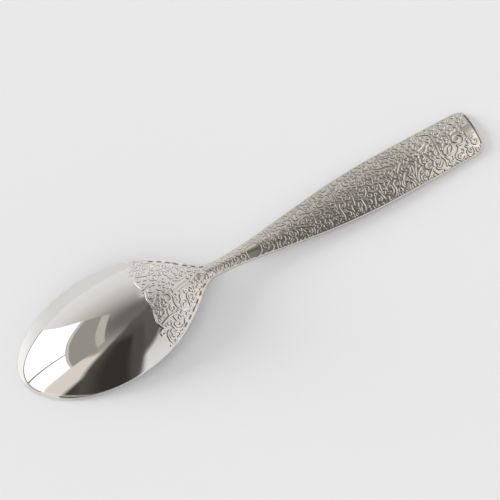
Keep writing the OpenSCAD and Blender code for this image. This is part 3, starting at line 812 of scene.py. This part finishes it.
# A glowing sheet with soft edges; place turns shares across and up into a point
def addSheet(name, place, colour, soft, level=1.0):
    count, hair = 21, 1e-3
    across, up = np.meshgrid(np.linspace(0, 1, count), np.linspace(0, 1, count))
    faces = [(i * count + j, i * count + j + 1, (i + 1) * count + j + 1, (i + 1) * count + j)
             for i in range(count - 1) for j in range(count - 1)]
    mesh = addStage(name, np.stack(place(across, up), 2).reshape(-1, 3).tolist(), faces,
                    glowMaterial(name, colour, level, True))
    fade = np.ones_like(across)
    for share, width in zip((across, 1 - across, up, 1 - up), soft):
        fade *= ease(share, -hair, width + hair)
    setAttribute(mesh, "fade", fade)


# Places on a standing sheet, between two directions from the spoon and two heights of view
def standing(azimuths, elevations, distance, lean=(0.0, 0.0), slant=0.0):
    def place(across, up):
        low = slant * across
        rise = low + (elevations[1] - elevations[0] - low) * up
        left, right = azimuths[0] + lean[0] * rise, azimuths[1] + lean[1] * rise
        a = np.radians(left + (right - left) * across)
        e = np.radians(elevations[0] + rise)
        return distance * np.cos(e) * np.cos(a), distance * np.cos(e) * np.sin(a), distance * np.sin(e)
    return place


paintedEndSheet = {"x": 0.107, "y": -0.075, "wide": 0.13, "long": 0.13, "aslant": 0.257, "pivot": 0.04, "height": 0.15}


# Places on a level sheet over the end of the handle, with its near side aslant; its glow paints a bright
# reflection over the handle's end
def overEnd(across, up):
    c = paintedEndSheet
    y = c["y"] + c["long"] * up
    return c["x"] + c["aslant"] * (y + c["pivot"]) + c["wide"] * across, y, np.full_like(y, c["height"])


# Two sheets just over the table, seen only in the bowl's rim: a painted dark reflection by the lower rim and
# a painted sheen by the tip
paintedRimSheets = {"height": 0.0003, "near": ((-0.089, -0.0155), (0.035, -0.009)), "far": ((-0.94, -0.86), (0.78, -0.36)),
       "turns": (-8, 80), "clear": 0.0005, "reach": 0.9}


# Places on a sheet close over the table, from the lower rim of the bowl outwards; its dark glow is a painted
# dark reflection along the lower rim, where the table would show
def besideRim(across, up):
    near, far = ([p + run * across for p, run in zip(*paintedRimSheets[side])] for side in ("near", "far"))
    return far[0] + (near[0] - far[0]) * up, far[1] + (near[1] - far[1]) * up, np.full_like(up, paintedRimSheets["height"])


# Places on a sheet close over the table, from the upper rim of the tip outwards; its white glow is a painted
# sheen of window light on the table, seen only in the tip's rim
def roundTip(across, up):
    s = spoon
    turn = np.radians(paintedRimSheets["turns"][0] + paintedRimSheets["turns"][1] * across)
    away = paintedRimSheets["clear"] + paintedRimSheets["reach"] * (1 - up) ** 2
    x = (s["wideX"] * (1 - np.cos(turn)) - s["length"] / 2) * mm - away * np.cos(turn)
    y = s["bowlWidth"] / 2 * mm * np.sin(turn) + away * np.sin(turn)
    return x, y, np.full_like(up, paintedRimSheets["height"])


table = {"size": 3.0, "colour": "#f1f2f5", "rough": 0.6}
t = table["size"]
addStage("table_top", [(-t, -t, 0), (t, -t, 0), (t, t, 0), (-t, t, 0)], [(0, 1, 2, 3)],
         lacquerMaterial("table_matt_lacquer", table["colour"], table["rough"]), False)

# Window wall: its facing direction, and corners in shares of its distance, across and up
window = {"azimuth": 165, "distance": 1.1, "foot": 0.03, "top": 1.41, "bar": (0.30, 0.35),
          "left": -1.04, "drop": 0.17, "gap": 0.02}


def addWallPanel(name, corners, colour, level=1.0):
    a, d = math.radians(window["azimuth"]), window["distance"]
    places = [(d * (math.cos(a) - side * math.sin(a)), d * (math.sin(a) + side * math.cos(a)), d * up)
              for side, up in corners]
    addStage(name, places, [tuple(range(len(places)))], glowMaterial(name, colour, level))


def upright(left, right, low, high):
    return [(left, low), (right, low), (right, high), (left, high)]


left, foot, top, bar = window["left"], window["foot"], window["top"], window["bar"]
leftTop, gap = top - window["drop"], window["gap"]
panels = {   # corners, colour and perhaps a level
    "window_pane_near": ([(left, foot), (bar[0], foot), (bar[0], top), (left, leftTop)], "#ffffff", 1.6),
    "window_pane_far": (upright(bar[1], 1.4, foot, top), "#ffffff", 1.35),
    "window_bar": (upright(*bar, foot, top), "#75726e"),
    "window_sill": (upright(left, 0.9, 0, foot), "#8a8884"),
    "window_gap": ([(left, leftTop), (bar[0], top), (bar[0], top + gap), (left, leftTop + gap)], "#85827d"),
    "window_head": ([(-1.02, leftTop + gap), (bar[0], top + gap), (1.5, top), (1.5, 1.52), (bar[0], 1.53),
                     (-1.02, 1.36)], "#d6d2cd"),
    "wall_over_window": ([(-1.02, 1.36), (bar[0], 1.53), (2.4, 1.53), (2.4, 3.3), (-1.02, 2.1)], "#a29e98"),
    "wall_post": ([(-1, 2.1), (1.7, 3.06), (1.7, 3.68), (-1, 2.65)], "#c6c2bc"),
}
for name, look in panels.items():
    addWallPanel(name, *look)

# Sheets round the table: directions and heights of view in degrees, distance in metres, lean of the sides and
# slant of the foot; then colour, soft edges (left, right, foot, top) in shares, and perhaps a level
sheets = {
    "dim_wall": (((-124, -57), (-5, 84), 1.6, (0, 0), 57), "#625f5b", (0.12, 0.05, 0.08, 0.15)),
    "dim_ceiling": (((-62, -8), (57, 81), 1.59), "#5c5956", (0.2, 0.2, 0.15, 0.15)),
    "pale_wall": (((-52, -24), (12, 55), 1.58), "#e6e1dc", (0.2, 0.35, 0.2, 0.2), 1.2),
    "pale_side": (((36, 82), (38, 66), 1.6), "#dcd9d4", (0.25, 0.25, 0.25, 0.25)),
    "pale_door": (((-154, -118), (0.5, 51), 1.55, (0.33, 0)), "#ece5dd", (0.08, 0.08, 0, 0.12)),
    "dark_bench": (((-136, -99), (0.5, 28), 1.53, (0.45, 0.2)), "#46433f", (0.1, 0.1, 0, 0.4)),
    "dark_wall": (((-127, -98), (0.5, 76), 1.51, (0, 0.22)), "#55524d", (0.1, 0.12, 0, 0.3)),
    "dark_doorway": (((-124, -101), (0.5, 58), 1.5), "#393633", (0.45, 0.2, 0, 0.15)),
}
for name, (where, *look) in sheets.items():
    addSheet(name, standing(*where), *look)
# Painted reflection: a dark sheet, seen only in the bowl's lower rim, hides the table there
addSheet("painted_dark_rim_reflection", besideRim, "#4a4743", (0.05, 0.3, 0.0, 0.002))
# Painted sheen: a white glowing sheet stands in for window light on the table, mirrored in the tip's rim
addSheet("painted_table_sheen", roundTip, "#ffffff", (0.1, 0.55, 0.0, 0.0), 1.15)
# Painted reflection: a pale glowing sheet, seen only in reflections, brightens the end of the handle
addSheet("painted_end_reflection", overEnd, "#eeeae5", (0.14, 0.1, 0.1, 0.35), 1.5)

world = bpy.data.worlds.new("studio_dome")
bpy.context.scene.world = world
world.use_nodes = True
dome = world.node_tree
dome.nodes.clear()
direction = addNode(dome, "ShaderNodeTexCoord")
parts = addNode(dome, "ShaderNodeSeparateXYZ", None, {"Vector": direction.outputs["Generated"]})
stops = {0.0: "#f4f4f4", 0.34: "#eae9e8", 0.5: "#dcdad7", 0.71: "#c6c3be",   # from the horizon to the zenith
         0.87: "#a4a09b", 0.97: "#777471", 1.0: "#72706d"}
surround = addNode(dome, "ShaderNodeBackground", None, {"Color": addRamp(dome, parts.outputs["Z"], stops)})
paper = addNode(dome, "ShaderNodeBackground", {"Color": linear("#ececec")})
path = addNode(dome, "ShaderNodeLightPath")
mixed = addNode(dome, "ShaderNodeMixShader", None,
                {0: path.outputs["Is Camera Ray"], 1: surround.outputs[0], 2: paper.outputs[0]})
addNode(dome, "ShaderNodeOutputWorld", None, {"Surface": mixed.outputs["Shader"]})


# Direction of a place in the sky, from its azimuth and elevation in degrees
def skyward(azimuth, elevation):
    a, e = math.radians(azimuth), math.radians(elevation)
    return Vector((math.cos(a) * math.cos(e), math.sin(a) * math.cos(e), math.sin(e)))


# Soft suns for the table, a low one on the left for the long shadow and one overhead; nothing mirrors them
suns = {"low_key": {"azimuth": 141, "elevation": 16, "spread": 30, "level": 2.25},
        "high_fill": {"azimuth": 141, "elevation": 88, "spread": 60, "level": 0.61}}
for name, s in suns.items():
    sunData = bpy.data.lights.new(name, "SUN")
    sunData.energy, sunData.angle = s["level"], math.radians(s["spread"])
    sun = addObject(name, sunData)
    sun.rotation_euler = skyward(s["azimuth"], s["elevation"]).to_track_quat("Z", "Y").to_euler()
    sun.visible_glossy = False

# Camera at the photograph's angle
view = {"azimuth": -119.52, "elevation": 77.0, "distance": 0.613, "target": (-0.00075, 0.00013, 0.005),
        "lens": 122.256, "sensor": 36.0}
toward = skyward(view["azimuth"], view["elevation"])
cameraData = bpy.data.cameras.new("camera")
cameraData.lens = view["lens"]
cameraData.sensor_width = view["sensor"]
camera = addObject("camera", cameraData)
camera.location = Vector(view["target"]) + toward * view["distance"]
camera.rotation_euler = toward.to_track_quat("Z", "Y").to_euler()
bpy.context.scene.camera = camera
bpy.context.scene.view_settings.view_transform = "Standard"
